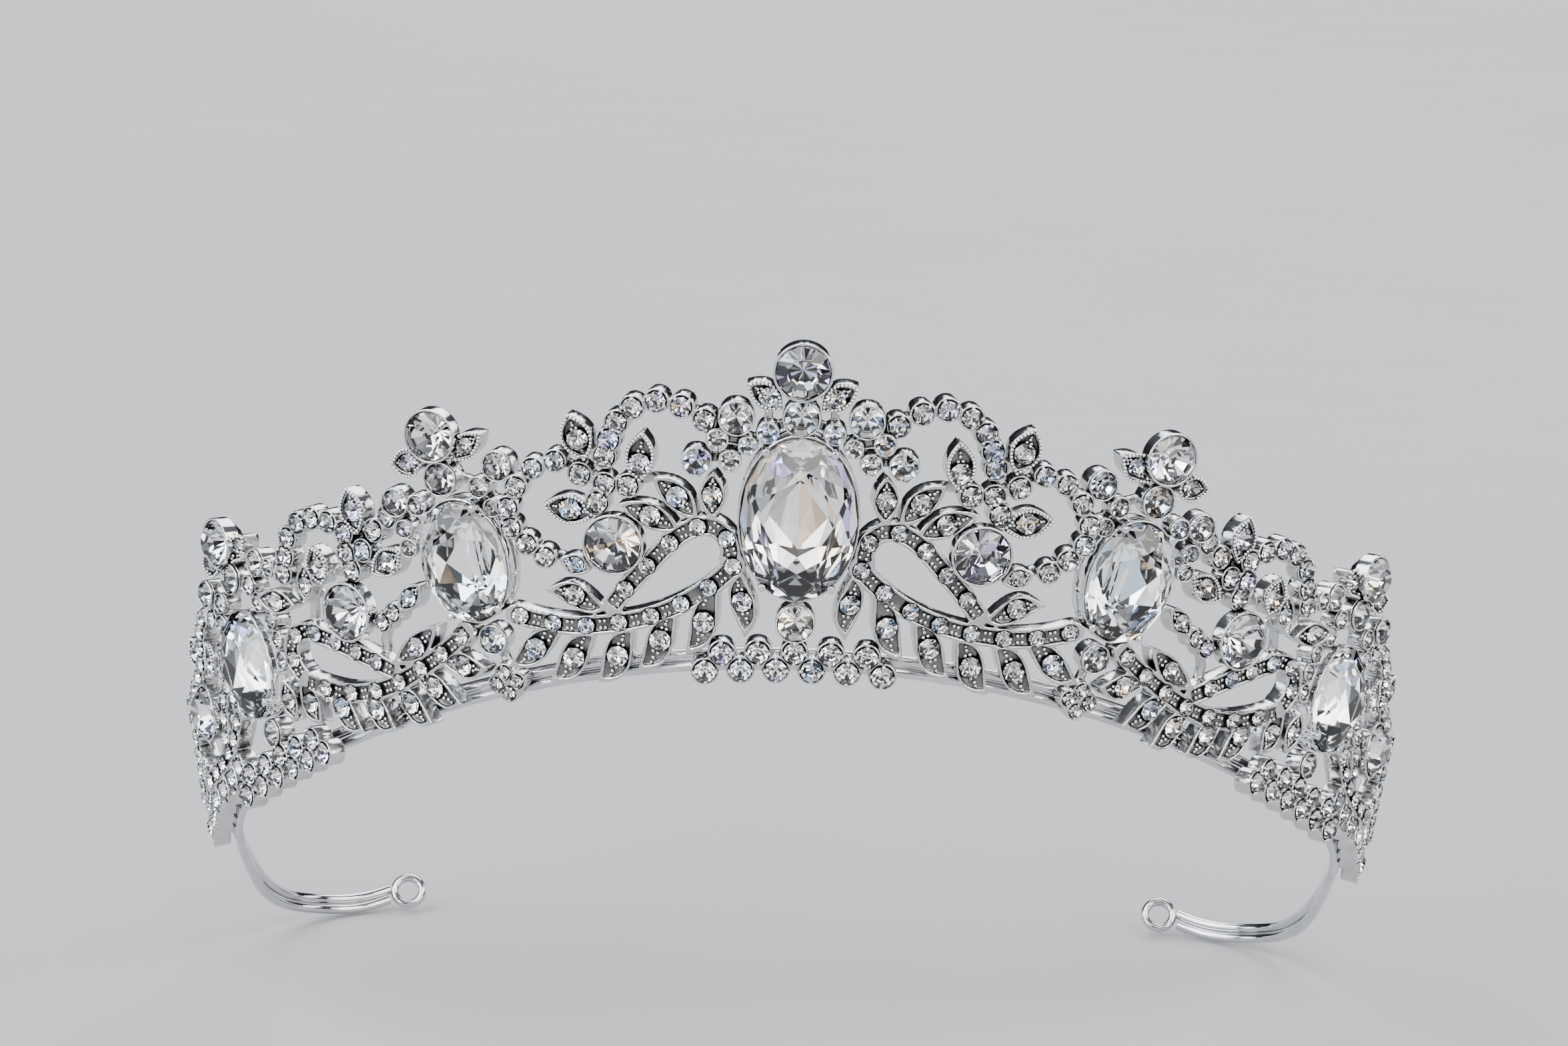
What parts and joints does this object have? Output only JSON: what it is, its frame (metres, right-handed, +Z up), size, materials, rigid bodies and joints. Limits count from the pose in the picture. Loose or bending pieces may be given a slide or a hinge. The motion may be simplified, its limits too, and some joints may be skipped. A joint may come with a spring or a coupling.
{
  "type": "bridal tiara",
  "caption": "Openwork bridal tiara: leaf and scroll castings set with oval and round crystals, soldered along two band wires that end in small loops.",
  "frame": {"origin": "centre of the head opening, in the plane of the band wires", "axes": "+X towards the wearer's left, -Y the way the wearer faces, +Z up the wearer's head; the band plane is tilted 35 degrees, front up"},
  "size_m": [0.1398, 0.0935, 0.0905],
  "materials": {
    "cast_metal": "rhodium-bright plated casting, dark in the recesses",
    "bright_setting": "polished rhodium-bright plating",
    "milgrain": "beaded, polished rhodium-bright plating",
    "band_wire": "drawn wire, polished plating",
    "large_crystal": "clear faceted crystal with a foiled back",
    "small_crystal": "clear faceted chaton with a foiled back"
  },
  "bodies": {
    "root": {"band_flower_casting_left": "cast_metal", "band_flower_casting_right": "cast_metal", "band_flower_stones": "small_crystal", "base_round_stones": "small_crystal", "base_row_stones": "small_crystal", "centre_base_casting": "cast_metal", "centre_crest_casting": "cast_metal", "centre_crest_round_stones": "small_crystal", "centre_oval_setting": "bright_setting", "centre_oval_stone": "large_crystal", "centre_top_cup": "bright_setting", "centre_top_stone": "large_crystal", "crest_leaf_stones": "small_crystal", "end_loop_left": "band_wire", "end_loop_right": "band_wire", "end_panel_casting_left": "cast_metal", "end_panel_casting_right": "cast_metal", "end_panel_chain_stones": "small_crystal", "end_panel_channel_stones": "small_crystal", "end_panel_leaf_stones": "small_crystal", "end_tip_casting_left": "cast_metal", "end_tip_casting_right": "cast_metal", "inner_panel_casting_left": "cast_metal", "inner_panel_casting_right": "cast_metal", "inner_panel_chain_stones": "small_crystal", "inner_panel_channel_stones": "small_crystal", "inner_panel_leaf_stones": "small_crystal", "lower_band_wire": "band_wire", "middle_crest_casting_left": "cast_metal", "middle_crest_casting_right": "cast_metal", "middle_crest_round_stones": "small_crystal", "middle_oval_setting_left": "bright_setting", "middle_oval_setting_right": "bright_setting", "middle_oval_stones": "large_crystal", "middle_top_cup_left": "bright_setting", "middle_top_cup_right": "bright_setting", "middle_top_stones": "large_crystal", "milgrain_rims_centre": "milgrain", "milgrain_rims_left": "milgrain", "milgrain_rims_right": "milgrain", "outer_panel_casting_left": "cast_metal", "outer_panel_casting_right": "cast_metal", "outer_panel_chain_stones": "small_crystal", "outer_panel_channel_stones": "small_crystal", "outer_panel_leaf_stones": "small_crystal", "panel_round_cups": "bright_setting", "panel_round_stones": "large_crystal", "side_base_casting_left": "cast_metal", "side_base_casting_right": "cast_metal", "side_crest_casting_left": "cast_metal", "side_crest_casting_right": "cast_metal", "side_crest_round_stones": "small_crystal", "side_oval_setting_left": "bright_setting", "side_oval_setting_right": "bright_setting", "side_oval_stones": "large_crystal", "side_top_cup_left": "bright_setting", "side_top_cup_right": "bright_setting", "side_top_stones": "large_crystal", "upper_band_wire": "band_wire"}
  },
  "joints": []
}
